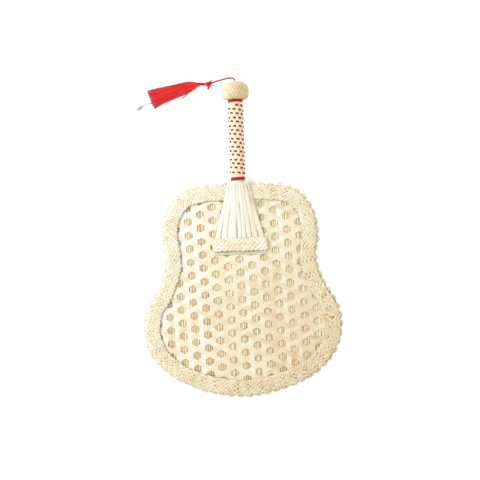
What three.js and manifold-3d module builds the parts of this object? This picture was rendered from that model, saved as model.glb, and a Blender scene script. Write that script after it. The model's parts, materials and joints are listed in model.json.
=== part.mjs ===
import * as THREE from 'three';
import { mergeGeometries, mergeVertices } from 'three/addons/utils/BufferGeometryUtils.js';
import Module from 'manifold-3d';

// Woven straw hand fan, in millimetres, +Z up. The fan lies on its back with the handle towards +Y.
// Inside the fan, heights along +Y count from the panel's lower lobes, just above their widest row, and
// z = 0 is the layer of straws in the middle of the panel, which is also the handle's axis.

// Clearances
const touchGap = 0.3;
const threadSideGap = 0.4;

// Main sizes: the panel, and the handle with its knob above the panel's top edge
const panelWidth = 235.4;
const panelHeight = 252.7;
const handleLength = 124.2;

// Right half of the panel's outer edge, clockwise from the middle of its top: share of half the
// panel's width, and height as a share of the panel's height
const panelOutline = [
  [0, 0.6506], [0.3398, 0.6482], [0.5777, 0.6193], [0.7307, 0.5382], [0.7859, 0.4274],
  [0.7579, 0.2928], [0.8284, 0.182], [0.9643, 0.0712], [1, -0.0317], [0.9218, -0.1543],
  [0.7009, -0.2552], [0.3781, -0.3213], [0, -0.3494],
];

// Panel layers, from the middle outwards
const strawHalfThickness = 0.6;
const strawGroove = 0.2;
const strawPitch = 4.2;
const netThickness = 0.8;
const plaitRise = 1.4;

// Flat plait round the edge, and its picot loops
const plaitWidth = 18.5;
const plaitShoulder = 1.5;
const plaitChamfer = 0.5;
const plaitSeamWidth = 7.6;
const edgeStations = 60;
const edgeDivisions = 1200;
const picotPitch = 11;
const picotReach = 3;
const picotBand = 6.2;
// A loop's rounded outline: share of its pitch, share of its reach
const picotOutline = [[0, 0], [0.2, 0.8], [0.5, 1], [0.8, 0.8]];

// Open three-way net
const netRowPitch = 16.05;
const netColumnPitch = 14.65;
const uprightStripWidth = 5.3;
const slantStripWidth = 5.7;
const netTilt = THREE.MathUtils.degToRad(1.9);
const netOrigin = [1.4, -4.4];
const netSeam = 2.4;

// Handle straws
const strawCount = 15;
const strawCircle = 7.95;
const strawWidth = 1.7;
const strawThickness = 0.5;
const strawTuck = 4.9;

// Skirt: the same straws spread over both faces, from an arch just above the panel's top edge
const skirtArchGap = 0.5;
const skirtArchHalfWidth = 13.4;
const skirtArchRise = 4.2;
const skirtRoot = 3.3;
const skirtRootSteps = 3;
const skirtTuck = 14;
// Bends between the arch and the band: share of the way to the ends, of the arch's rise, of the plait's step
// and of the spread
const skirtBends = [[0.117, 0.65, 1, 0.15], [0.291, 0.25, 1, 0.32], [0.532, 0.05, 0.35, 0.63]];
const skirtTuckedSpread = 0.97;
const frontSkirtWidths = [5.5, 7.5, 11, 4.6, 5, 5.6, 6.6, 6];
const backSkirtWidths = [6.2, 7, 6.6, 9, 7.2, 6.4, 6.6];
const skirtSlit = 0.9;
const skirtBandWidth = 64.6;
const skirtBandHeight = 17;
const skirtDrop = 79.4;
const skirtBandThickness = 2;
const skirtBandCorner = 3;
const skirtBandBevel = 0.7;
const skirtBandCornerSteps = 2;

// Red thread laced through the handle straws
const threadTopDrop = 6.7;
const threadFootLift = 6.8;
const threadTurns = 17;
const threadThickness = 0.4;
const threadTall = 1.3;
const threadDip = 1.25;

// Red windings at both ends of the handle
const windingWire = 0.95;
const windingPitch = 1.4;
const windingTurns = 3;
const windingSteps = 16;
const windingSides = 5;
const upperBandDrop = 2.7;
const lowerBandLift = 2.4;

// Knob
const knobHeight = 22.9;
const knobRadius = 16.3;
const knobSquareness = 2.1;
const knobFootSquareness = 4.5;
const knobSkin = 2.1;
const knobSegments = 24;
const knobSteps = 8;

// Core stick and its tongue
const stickRadius = 5.6;
const stickTaper = 5;
const stickFootLift = 2.8;
const stickTopGap = 0.9;
const stickChamfer = 1;
const stickSegments = 20;
const coreSegments = 16;
const tongueWidth = 12;
const tongueShoulder = 2;
const tongueReach = 78;
const tongueTip = 6;

// Tassel: cord, knot, neck and fringe, set out from the knob's pole
const cordDiameter = 2.2;
const cordStraight = 0.4;
// The cord's route: sideways, along the handle, and the share of its drop to the knot's middle
const cordRoute = [
  [0, -1.7, 0], [0, cordStraight, 0], [-0.8, 2, 0], [-2.9, 2.9, 0.04], [-6, 3.2, 0.14], [-9.8, 3.1, 0.3],
  [-13.6, 2.8, 0.5], [-17.4, 2.5, 0.7], [-21.2, 2, 0.86], [-24.2, 1.4, 0.96], [-26.5, 0.75, 1],
];
const cordSteps = 16;
const cordHalfSides = 4;
const knotRadius = 4.4;
const knotPlace = [-31.1, -0.9];
const knotTail = 3.4;
const knotTailRadius = 1.5;
const knotTailEndRadius = 1.05;
const knotSegments = 12;
const knotRings = 8;
const neckRadius = 1.25;
const neckWire = 0.9;
const neckPitch = 1.35;
const neckTurns = 4;
const neckSteps = 10;
const neckSides = 4;
const fringeAngle = THREE.MathUtils.degToRad(193.2);
const fringeLength = 60;
const fringeEndWidth = 22.6;
const fringeThickness = 5.4;
const fringeFlute = 0.08;
const fringePoints = 18;
// Fringe: share of its length, of its width, of its thickness, and of its drop onto the table
const fringeStages = [
  [0.09, 0.36, 0.85, 0.6], [0.2, 0.5, 1, 1], [0.5, 0.64, 1, 1], [0.78, 0.82, 1, 1], [1, 1, 0.9, 1],
];
const endThreadDiameter = 0.6;
const endThreadOffset = 3.2;
const endTipStart = [-111.7, -23.6];
const endTipEnd = [-119, -28.8];
const endTipWidth = 2.4;
const endTipThickness = 1.2;
const endTipSides = 8;
// End tip, a flattened spindle: share of its length, share of its width and thickness
const endTipStages = [[0.03, 0.3], [0.3, 1], [0.6, 0.75], [1, 0.2]];

// Sizes that follow from those above
const panelTop = panelOutline[0][1] * panelHeight;
const panelBottom = panelOutline[panelOutline.length - 1][1] * panelHeight;
const netBottom = strawHalfThickness + touchGap;
const netTop = netBottom + netThickness;
const plaitBottom = netTop + touchGap;
const plaitTop = plaitBottom + plaitRise;
const netInset = plaitSeamWidth + touchGap;
const matInset = picotBand + touchGap;
const strawInner = strawCircle - strawThickness / 2;
const strawOuter = strawCircle + strawThickness / 2;
const threadOuter = strawOuter + touchGap + threadThickness / 2;
const threadInner = strawInner - threadThickness / 2 - threadDip;
const threadSide = strawWidth / 2 + threadSideGap;
const windingRadius = strawOuter + touchGap + windingWire / 2;
const skirtArchHeight = panelTop + skirtArchGap;
const skirtBandBottom = panelTop - skirtDrop;
const skirtBandTop = skirtBandBottom + skirtBandHeight;
const skirtEnd = skirtBandTop - skirtTuck;
const handleFoot = skirtArchHeight + skirtRoot;
const lowerBandMiddle = handleFoot + lowerBandLift;
const stickFoot = handleFoot + stickFootLift;
const tongueEnd = stickFoot - tongueReach;
const knobTop = panelTop + handleLength;
const knobBottom = knobTop - knobHeight;
const knobMiddle = knobTop - knobHeight / 2;
const strawTop = knobBottom + strawTuck;
const upperBandMiddle = knobBottom - upperBandDrop;
const threadTop = knobBottom - threadTopDrop;
const threadPitch = (threadTop - handleFoot - threadFootLift) / threadTurns;
const knobMouth = strawOuter + 2 * touchGap;
const cordHole = cordDiameter / 2 + touchGap;
const stickTop = knobTop - knobSkin - stickTopGap;
const strawStep = (2 * Math.PI) / strawCount;
const neckEnd = knotRadius + touchGap + neckPitch * neckTurns + 2 * neckWire;
const fringeEnd = neckEnd + fringeLength;

const strawMaterial = new THREE.MeshStandardMaterial({ color: 0xf2e3bf, roughness: 0.75, metalness: 0 });
const plaitMaterial = new THREE.MeshStandardMaterial({ color: 0xeedfba, roughness: 0.8, metalness: 0 });
const matMaterial = new THREE.MeshStandardMaterial({ color: 0xd9bf8c, roughness: 0.8, metalness: 0 });
const stickMaterial = new THREE.MeshStandardMaterial({ color: 0xc9a66b, roughness: 0.7, metalness: 0 });
const redMaterial = new THREE.MeshStandardMaterial({ color: 0xd8222c, roughness: 0.6, metalness: 0 });
const greyMaterial = new THREE.MeshStandardMaterial({ color: 0x9a9a9e, roughness: 0.45, metalness: 0.3 });

const wasm = await Module();
wasm.setup();

function point(x, y, z) {
  return new THREE.Vector3(x, y, z);
}

function mix(from, to, share) {
  return THREE.MathUtils.lerp(from, to, share);
}

// Boolean work

function toSolid(geometry) {
  const bare = geometry.clone();
  bare.deleteAttribute('normal');
  bare.deleteAttribute('uv');
  const merged = mergeVertices(bare, 1e-4);
  return new wasm.Manifold(new wasm.Mesh({
    numProp: 3,
    vertProperties: Float32Array.from(merged.attributes.position.array),
    triVerts: Uint32Array.from(merged.index.array),
  }));
}

function toGeometry(solid) {
  const mesh = solid.getMesh();
  const geometry = new THREE.BufferGeometry();
  geometry.setAttribute('position', new THREE.BufferAttribute(mesh.vertProperties, 3));
  geometry.setIndex(new THREE.BufferAttribute(mesh.triVerts, 1));
  geometry.computeVertexNormals();
  return geometry;
}

// A closed skin over rings of points. An endless loft joins its last ring to its first.
function loft(rings, endless = false) {
  const size = rings[0].length;
  const points = rings.flat();
  const index = [];
  const spans = endless ? rings.length : rings.length - 1;
  for (let ring = 0; ring < spans; ring += 1) {
    const next = (ring + 1) % rings.length;
    for (let side = 0; side < size; side += 1) {
      const other = (side + 1) % size;
      index.push(ring * size + side, ring * size + other, next * size + other);
      index.push(ring * size + side, next * size + other, next * size + side);
    }
  }
  if (!endless) {
    const last = (rings.length - 1) * size;
    for (let side = 1; side < size - 1; side += 1) {
      index.push(0, side + 1, side);
      index.push(last, last + side, last + side + 1);
    }
  }
  const geometry = new THREE.BufferGeometry().setFromPoints(points);
  geometry.setIndex(volume(points, index) < 0 ? index.reverse() : index);
  geometry.computeVertexNormals();
  return geometry;
}

function volume(points, index) {
  let sum = 0;
  for (let corner = 0; corner < index.length; corner += 3) {
    const [a, b, c] = [0, 1, 2].map((step) => points[index[corner + step]]);
    sum += a.dot(b.clone().cross(c)) / 6;
  }
  return sum;
}

function slab(loop, bottom, top) {
  const options = { depth: top - bottom, bevelEnabled: false };
  return new THREE.ExtrudeGeometry(new THREE.Shape(loop), options).translate(0, 0, bottom);
}

function lathe(profile, segments) {
  const points = profile.map(([radius, height]) => new THREE.Vector2(radius, height));
  return new THREE.LatheGeometry(points, segments);
}

// The panel's outer edge, clockwise from the middle of its top

const rightEdge = panelOutline.map(([x, y]) => point((x * panelWidth) / 2, y * panelHeight, 0));
const leftEdge = rightEdge.slice(1, -1).reverse().map(({ x, y }) => point(-x, y, 0));
const edge = new THREE.CatmullRomCurve3([...rightEdge, ...leftEdge], true, 'centripetal');
edge.arcLengthDivisions = edgeDivisions;

// A point of the edge moved inwards, at a share of the way round.
function edgePoint(share, inset, height = 0) {
  const place = edge.getPointAt(share);
  const along = edge.getTangentAt(share);
  return point(place.x + along.y * inset, place.y - along.x * inset, height);
}

function edgeLoop(inset, stations = edgeStations) {
  return Array.from({ length: stations }, (_, station) => edgePoint(station / stations, inset));
}

function isInside(place, loop) {
  let inside = false;
  loop.forEach((a, at) => {
    const b = loop[(at + loop.length - 1) % loop.length];
    const crosses = (a.y > place.y) !== (b.y > place.y);
    if (crosses && place.x < a.x + ((b.x - a.x) * (place.y - a.y)) / (b.y - a.y)) {
      inside = !inside;
    }
  });
  return inside;
}

// Slot that takes the stick's tongue
function tongueSlot() {
  const width = tongueWidth + 2 * touchGap;
  const low = tongueEnd - touchGap;
  const high = panelTop + 2 * picotReach;
  const box = new THREE.BoxGeometry(width, high - low, 4 * strawHalfThickness);
  return toSolid(box.translate(0, (high + low) / 2, 0));
}

function groundStraws() {
  const pairs = Math.ceil(panelWidth / 2 / strawPitch);
  const upper = [];
  for (let straw = -pairs; straw <= pairs; straw += 1) {
    upper.push(new THREE.Vector2(straw * strawPitch, strawHalfThickness));
    upper.push(new THREE.Vector2((straw + 0.5) * strawPitch, strawGroove));
  }
  const lower = upper.map(({ x, y }) => new THREE.Vector2(x, -y)).reverse();
  const section = new THREE.Shape([...upper, ...lower]);
  const straws = new THREE.ExtrudeGeometry(section, { depth: panelHeight, bevelEnabled: false });
  straws.rotateX(Math.PI / 2).translate(0, panelTop, 0);
  const blank = toSolid(slab(edgeLoop(matInset), -2 * strawHalfThickness, 2 * strawHalfThickness));
  return toGeometry(toSolid(straws).intersect(blank).subtract(tongueSlot()));
}

// Half the width that the skirt covers at a height on the panel
function skirtHalfWidth(height) {
  const share = (skirtArchHeight - height) / (skirtArchHeight - skirtEnd);
  return mix(skirtArchHalfWidth, skirtBandWidth / 2, THREE.MathUtils.clamp(share, 0, 1));
}

function isUnderSkirt({ x, y }) {
  return y > skirtBandBottom && Math.abs(x) < skirtHalfWidth(y);
}

// Centres of the net's gaps: columns half a row apart, where nothing covers them
function gapCentres() {
  const opening = edgeLoop(plaitWidth + netSeam);
  const columns = Math.ceil(panelWidth / 2 / netColumnPitch);
  const rows = Math.ceil(panelTop / netRowPitch);
  const centres = [];
  for (let column = -columns; column <= columns; column += 1) {
    for (let row = -rows; row <= rows; row += 1) {
      const shift = column % 2 === 0 ? 0 : 0.5;
      const place = new THREE.Vector2(column * netColumnPitch, (row + shift) * netRowPitch);
      place.rotateAround(new THREE.Vector2(0, 0), netTilt).add(new THREE.Vector2(...netOrigin));
      if (isInside(place, opening) && !isUnderSkirt(place)) {
        centres.push(place);
      }
    }
  }
  return centres;
}

// One gap: six sides, left open by the edges of two strips in each of the three directions
function gapPrism(centre) {
  const slant = Math.atan2(netRowPitch / 2, netColumnPitch);
  const half = (netColumnPitch - uprightStripWidth) / 2;
  const peak = netRowPitch / 2 - slantStripWidth / 2 / Math.cos(slant);
  const side = peak - half * Math.tan(slant);
  const corners = [[half, -side], [half, side], [0, peak], [-half, side], [-half, -side], [0, -peak]];
  const loop = corners.map(([x, y]) => new THREE.Vector2(x, y)
    .rotateAround(new THREE.Vector2(0, 0), netTilt).add(centre));
  return slab(loop, netBottom - touchGap, netTop + touchGap);
}

function openNet() {
  const sheet = toSolid(slab(edgeLoop(netInset), netBottom, netTop));
  const gaps = toSolid(mergeGeometries(gapCentres().map(gapPrism)));
  return toGeometry(sheet.subtract(gaps));
}

// The plait steps down outside the net, where it meets the picot loops
function borderPlait() {
  const seam = strawHalfThickness + touchGap;
  const profile = [
    [0, seam], [plaitSeamWidth, seam], [plaitSeamWidth, plaitBottom], [plaitWidth, plaitBottom],
    [plaitWidth, plaitTop - plaitChamfer], [plaitWidth - plaitShoulder, plaitTop],
    [plaitShoulder, plaitTop], [0, plaitTop - plaitChamfer],
  ];
  const rings = Array.from({ length: edgeStations }, (_, station) => (
    profile.map(([inset, height]) => edgePoint(station / edgeStations, inset, height))
  ));
  return loft(rings, true);
}

function picotEdging() {
  const picots = Math.round(edge.getLength() / picotPitch);
  const outer = [];
  for (let picot = 0; picot < picots; picot += 1) {
    picotOutline.forEach(([share, reach]) => {
      outer.push(edgePoint((picot + share) / picots, -reach * picotReach));
    });
  }
  const ring = toSolid(slab(outer, -strawHalfThickness, strawHalfThickness));
  const inner = toSolid(slab(edgeLoop(picotBand), -2 * strawHalfThickness, 2 * strawHalfThickness));
  return toGeometry(ring.subtract(inner).subtract(tongueSlot()));
}

// Where each skirt straw ends: the middle of its place in the row, from left to right
function skirtPlaces(widths) {
  const full = widths.reduce((sum, width) => sum + width, 0) + skirtSlit * (widths.length - 1);
  let left = -full / 2;
  return widths.map((width) => {
    const middle = left + width / 2;
    left += width + skirtSlit;
    return middle;
  });
}

// A straw's cross-section: four corners about a middle, turned about the handle's direction
function strawSection(x, height, z, turn, width) {
  const across = point(Math.cos(turn), 0, -Math.sin(turn)).multiplyScalar(width / 2);
  const through = point(Math.sin(turn), 0, Math.cos(turn)).multiplyScalar(strawThickness / 2);
  const middle = point(x, height, z);
  return [[1, 1], [-1, 1], [-1, -1], [1, -1]].map(([side, face]) => (
    middle.clone().addScaledVector(across, side).addScaledVector(through, face)
  ));
}

// A handle straw, drawn for the front face: straight along the grip, turned in even steps at its root, over an
// arch and flat on the panel
function handleStraw(angle, place, widths) {
  const onPlait = plaitTop + touchGap + strawThickness / 2;
  const onNet = netTop + touchGap + strawThickness / 2;
  const share = (2 * (place + 0.5)) / widths.length - 1;
  const end = skirtPlaces(widths)[place];
  const [top, foot] = [strawTop, handleFoot].map((height) => (
    [strawCircle * Math.sin(angle), height, strawCircle * Math.cos(angle), angle, strawWidth]
  ));
  const tucked = (skirtArchHeight - skirtBandTop) / (skirtArchHeight - skirtEnd);
  const bends = [[0, 1, 1, 0], ...skirtBends, [tucked, 0, 0, skirtTuckedSpread], [1, 0, 0, 1]];
  const spread = bends.map(([down, archShare, plaitShare, open]) => {
    const height = mix(skirtArchHeight, skirtEnd, down);
    const rise = archShare * skirtArchRise;
    const base = mix(onNet, onPlait, plaitShare);
    const x = mix(skirtArchHalfWidth * share, end, open);
    const slope = (2 * rise * share) / mix(skirtArchHalfWidth, skirtBandWidth / 2, open);
    const width = mix(strawWidth, widths[place], open);
    return [x, height, base + rise * (1 - share * share), Math.atan(slope), width];
  });
  const root = Array.from({ length: skirtRootSteps - 1 }, (_, step) => (
    foot.map((value, at) => mix(value, spread[0][at], (step + 1) / skirtRootSteps))
  ));
  return loft([top, foot, ...root, ...spread].map((row) => strawSection(...row)));
}

// Angle, skirt place and face of every handle straw
function handleStraws() {
  return [frontSkirtWidths, backSkirtWidths].flatMap((widths) => widths.map((_, place) => ({
    angle: (place - (widths.length - 1) / 2) * strawStep, place, widths, behind: widths === backSkirtWidths,
  })));
}

function skirtBand() {
  const half = skirtBandWidth / 2 - skirtBandBevel;
  const high = skirtBandHeight - 2 * skirtBandBevel;
  const corner = skirtBandCorner;
  const outline = new THREE.Shape();
  outline.absarc(half - corner, corner, corner, -Math.PI / 2, 0);
  outline.absarc(half - corner, high - corner, corner, 0, Math.PI / 2);
  outline.absarc(corner - half, high - corner, corner, Math.PI / 2, Math.PI);
  outline.absarc(corner - half, corner, corner, Math.PI, 1.5 * Math.PI);
  const options = {
    depth: skirtBandThickness - 2 * skirtBandBevel, curveSegments: skirtBandCornerSteps,
    bevelSize: skirtBandBevel, bevelThickness: skirtBandBevel, bevelSegments: 1,
  };
  const bottom = netTop + strawThickness + 2 * touchGap;
  const band = new THREE.ExtrudeGeometry(outline, options);
  return band.translate(0, skirtBandBottom + skirtBandBevel, bottom + skirtBandBevel);
}

// A tube along a run of points, with a flat section that keeps its height along an axis
function flatTube(path, axis, halfThick, halfTall) {
  const rings = path.map((place, at) => {
    const before = place.clone().sub(path[Math.max(at - 1, 0)]).normalize();
    const after = path[Math.min(at + 1, path.length - 1)].clone().sub(place).normalize();
    const along = before.add(after).normalize();
    const mitre = after.lengthSq() > 0 && at > 0 ? along.dot(after) : 1;
    const out = along.cross(axis).normalize().multiplyScalar(halfThick / mitre);
    const up = axis.clone().multiplyScalar(halfTall);
    return [[1, 1], [1, -1], [-1, -1], [-1, 1]].map(([side, face]) => (
      place.clone().addScaledVector(out, side).addScaledVector(up, face)
    ));
  });
  return loft(rings);
}

// Over one straw and under the next; an odd number of straws makes the next turn the opposite
function threadPath() {
  const path = [];
  for (let crossing = 0; crossing < threadTurns * strawCount; crossing += 1) {
    const over = crossing % 2 === 0;
    const radius = over ? threadOuter : threadInner;
    const middle = (crossing + 0.5) * strawStep;
    (over ? [-threadSide, threadSide] : [0]).forEach((side) => {
      const angle = middle + Math.atan2(side, radius);
      const reach = Math.hypot(side, radius);
      const height = threadTop - (threadPitch * angle) / (2 * Math.PI);
      path.push(point(reach * Math.sin(angle), height, reach * Math.cos(angle)));
    });
  }
  return path;
}

// A helix that starts and ends at the back
function helixPath(radius, bottom, pitch, turns, steps) {
  return Array.from({ length: turns * steps + 1 }, (_, step) => {
    const angle = Math.PI + (2 * Math.PI * step) / steps;
    return point(radius * Math.sin(angle), bottom + (pitch * step) / steps, radius * Math.cos(angle));
  });
}

// An unbroken tube wound round the Y axis
function winding(path, wire, sides) {
  const rings = path.map((place) => {
    const out = point(place.x, 0, place.z).normalize();
    return Array.from({ length: sides }, (_, side) => {
      const angle = (2 * Math.PI * side) / sides;
      const section = out.clone().multiplyScalar((Math.cos(angle) * wire) / 2);
      section.y = (Math.sin(angle) * wire) / 2;
      return section.add(place);
    });
  });
  return loft(rings);
}

function handleBand(middle) {
  const bottom = middle - (windingPitch * windingTurns) / 2;
  const path = helixPath(windingRadius, bottom, windingPitch, windingTurns, windingSteps);
  return winding(path, windingWire, windingSides);
}

// The smallest distance between turns of a winding, between their surfaces
function leastGap(path, pointsPerTurn, height) {
  let least = Infinity;
  path.forEach((place, at) => {
    for (let other = at + Math.round(pointsPerTurn / 2); other < path.length; other += 1) {
      least = Math.min(least, place.distanceTo(path[other]));
    }
  });
  return least - height;
}

// Knob outline at a distance inside its surface; the angle runs from pole to pole
function knobPoint(angle, inset) {
  const power = 2 / (angle < 0 ? knobFootSquareness : knobSquareness);
  const radius = (knobRadius - inset) * Math.abs(Math.cos(angle)) ** power;
  const rise = (knobHeight / 2 - inset) * Math.abs(Math.sin(angle)) ** power;
  return [radius, knobMiddle + Math.sign(angle) * rise];
}

// Points of the knob outline between two radii, from below the middle to above it
function knobArc(inset, lowRadius, highRadius, steps) {
  const low = -Math.acos((lowRadius / (knobRadius - inset)) ** (knobFootSquareness / 2));
  const high = Math.acos((highRadius / (knobRadius - inset)) ** (knobSquareness / 2));
  return Array.from({ length: steps + 1 }, (_, step) => knobPoint(mix(low, high, step / steps), inset));
}

function knobWrap() {
  const outer = knobArc(0, knobMouth, cordHole, knobSteps);
  const inner = knobArc(knobSkin, knobMouth, cordHole, knobSteps).reverse();
  return lathe([...outer, ...inner, outer[0]], knobSegments);
}

function knobCore() {
  const bore = stickRadius + touchGap;
  const inset = knobSkin + 2 * touchGap;
  const floor = strawTop + touchGap;
  const wall = knobArc(inset, bore, bore, knobSteps).filter(([, height]) => height > floor);
  const outer = [[wall[0][0], floor], ...wall];
  return lathe([[bore, floor], ...outer, [bore, floor]], coreSegments);
}

function coreStick() {
  const round = lathe([
    [0, stickFoot], [stickRadius / 2, stickFoot], [stickRadius, stickFoot + stickTaper],
    [stickRadius, stickTop - stickChamfer], [stickRadius - stickChamfer, stickTop], [0, stickTop],
  ], stickSegments);
  const flat = strawHalfThickness;
  const section = (height, half) => [[1, 1], [-1, 1], [-1, -1], [1, -1]].map(([side, face]) => (
    point(side * half, height, face * flat)
  ));
  const tongue = loft([
    section(stickFoot + stickTaper, stickRadius - stickChamfer),
    section(stickFoot - tongueShoulder, tongueWidth / 2),
    section(tongueEnd + tongueTip, tongueWidth / 2), section(tongueEnd, tongueWidth / 4),
  ]);
  return toGeometry(toSolid(round).add(toSolid(tongue)));
}

// Tassel, in a frame at the knob's pole with z = 0 on the table

function tasselCord(poleHeight, lean) {
  const points = cordRoute.map(([x, y, drop]) => (
    point(x, y, mix(poleHeight, knotRadius, drop) + Math.min(y, cordStraight) * Math.tan(lean) * (1 - drop))
  ));
  const route = new THREE.CatmullRomCurve3(points, false, 'centripetal');
  const section = new THREE.Shape();
  section.absarc(0, 0, cordDiameter / 2, 0, 2 * Math.PI);
  const options = { steps: cordSteps, curveSegments: cordHalfSides, extrudePath: route };
  return new THREE.ExtrudeGeometry(section, options);
}

// The knot is a ball, so that the tassel turns on the cord about its middle, with one loose tail
function tasselKnot() {
  const ball = new THREE.SphereGeometry(knotRadius, knotSegments, knotRings);
  const reach = knotRadius + knotTail;
  const tail = new THREE.CylinderGeometry(knotTailEndRadius, knotTailRadius, reach, knotRings);
  tail.rotateZ(Math.PI).translate(0, -reach / 2, 0);
  return toGeometry(toSolid(ball).add(toSolid(tail)));
}

function neckBinding() {
  const radius = neckRadius + touchGap + neckWire / 2;
  const bottom = knotRadius + 2 * touchGap + neckWire / 2;
  return winding(helixPath(radius, bottom, neckPitch, neckTurns, neckSteps), neckWire, neckSides);
}

// The fringe runs along +Y from the knot, flattened onto the table as it opens
function fringe() {
  const wide = fringeEndWidth / 2;
  const thick = fringeThickness / 2;
  const stages = [
    [knotRadius + touchGap, neckRadius, neckRadius, 0],
    [neckEnd - neckWire / 2, neckRadius, neckRadius, 0],
    ...fringeStages.map(([share, width, depth, rest]) => (
      [mix(neckEnd, fringeEnd, share), width * wide, depth * thick, rest]
    )),
  ];
  const rings = stages.map(([along, half, deep, rest]) => {
    const middle = mix(knotRadius, (1 + fringeFlute) * deep, rest);
    return Array.from({ length: fringePoints }, (_, side) => {
      const angle = (2 * Math.PI * side) / fringePoints;
      const flute = 1 + (side % 2 === 0 ? fringeFlute : -fringeFlute);
      return point(half * flute * Math.cos(angle), along, middle + deep * flute * Math.sin(angle));
    });
  });
  return loft(rings);
}

// The fine thread comes out of the fringe's end face
function endThread() {
  const height = endTipThickness / 2;
  const start = point(fringeEnd + touchGap, endThreadOffset, 0).applyAxisAngle(point(0, 0, 1), fringeAngle);
  start.add(point(...knotPlace, height));
  const route = new THREE.LineCurve3(start, point(...endTipStart, height));
  const section = new THREE.Shape();
  section.absarc(0, 0, endThreadDiameter / 2, 0, 2 * Math.PI);
  return new THREE.ExtrudeGeometry(section, { steps: 1, curveSegments: cordHalfSides, extrudePath: route });
}

function endTip() {
  const start = point(...endTipStart, endTipThickness / 2);
  const end = point(...endTipEnd, endTipThickness / 2);
  const along = end.clone().sub(start).normalize();
  const across = point(-along.y, along.x, 0);
  const rings = endTipStages.map(([share, fullness]) => Array.from({ length: endTipSides }, (_, side) => {
    const angle = (2 * Math.PI * side) / endTipSides;
    return start.clone().lerp(end, share)
      .addScaledVector(across, (Math.cos(angle) * fullness * endTipWidth) / 2)
      .add(point(0, 0, (Math.sin(angle) * fullness * endTipThickness) / 2));
  }));
  return loft(rings);
}

// Assembly

function addMesh(parent, name, geometry, material) {
  const mesh = new THREE.Mesh(geometry, material);
  mesh.name = name;
  parent.add(mesh);
  return mesh;
}

const fan = new THREE.Group();
addMesh(fan, 'core_stick', coreStick(), stickMaterial);
addMesh(fan, 'ground_straws', groundStraws(), matMaterial);
addMesh(fan, 'picot_edging', picotEdging(), plaitMaterial);

const front = new THREE.Group();
const back = new THREE.Group();
back.rotation.y = Math.PI;
fan.add(front, back);
[['front', front], ['back', back]].forEach(([face, side]) => {
  addMesh(side, `${face}_net`, openNet(), strawMaterial);
  addMesh(side, `${face}_border`, borderPlait(), plaitMaterial);
  addMesh(side, `${face}_skirt_band`, skirtBand(), plaitMaterial);
});
handleStraws().forEach(({ angle, place, widths, behind }, at) => {
  const number = String(at + 1).padStart(2, '0');
  addMesh(behind ? back : front, `handle_straw_${number}`, handleStraw(angle, place, widths), strawMaterial);
});

const lacing = threadPath();
const lacingTube = flatTube(lacing, point(0, 1, 0), threadThickness / 2, threadTall / 2);
addMesh(fan, 'handle_thread', lacingTube, redMaterial);
addMesh(fan, 'upper_band', handleBand(upperBandMiddle), redMaterial);
addMesh(fan, 'lower_band', handleBand(lowerBandMiddle), redMaterial);
addMesh(fan, 'knob_core', knobCore(), matMaterial);
addMesh(fan, 'knob_wrap', knobWrap(), plaitMaterial);
console.log('handle thread, least gap to itself:', leastGap(lacing, 1.5 * strawCount, threadTall).toFixed(2));
const bandPath = helixPath(windingRadius, 0, windingPitch, windingTurns, windingSteps);
console.log('band winding, least gap to itself:', leastGap(bandPath, windingSteps, windingWire).toFixed(2));

// The fan leans on the knob and on the plait's lower edge, in the middle of its own outline
const lean = Math.atan((knobRadius - plaitTop) / (knobMiddle - panelBottom));
fan.rotation.x = lean;
const span = new THREE.Box3().setFromObject(fan, true);
const centre = span.getCenter(new THREE.Vector3());
fan.position.set(-centre.x, -centre.y, -span.min.z);
fan.updateMatrixWorld(true);

const pole = fan.localToWorld(point(0, knobTop, 0));
const tassel = new THREE.Group();
tassel.position.set(pole.x, pole.y, 0);
addMesh(tassel, 'tassel_cord', tasselCord(pole.z, lean), redMaterial);
const knot = addMesh(tassel, 'tassel_knot', tasselKnot(), redMaterial);
knot.position.set(...knotPlace, knotRadius);
const head = new THREE.Group();
head.position.set(...knotPlace, 0);
head.rotation.z = fringeAngle - Math.PI / 2;
const binding = addMesh(head, 'tassel_binding', neckBinding(), redMaterial);
binding.position.z = knotRadius;
addMesh(head, 'tassel_fringe', fringe(), redMaterial);
tassel.add(head);
addMesh(tassel, 'tassel_end_thread', endThread(), greyMaterial);
addMesh(tassel, 'tassel_end_tip', endTip(), greyMaterial);

const group = new THREE.Group();
group.add(fan, tassel);

export default group;
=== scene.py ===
import bisect
import json
import random
from itertools import accumulate
from math import acos, asin, atan, atan2, cos, hypot, pi, radians, sin, sqrt, tan

import bmesh
import bpy
from bpy.props import FloatProperty, FloatVectorProperty, IntProperty, PointerProperty
from mathutils import Matrix, Vector


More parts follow.
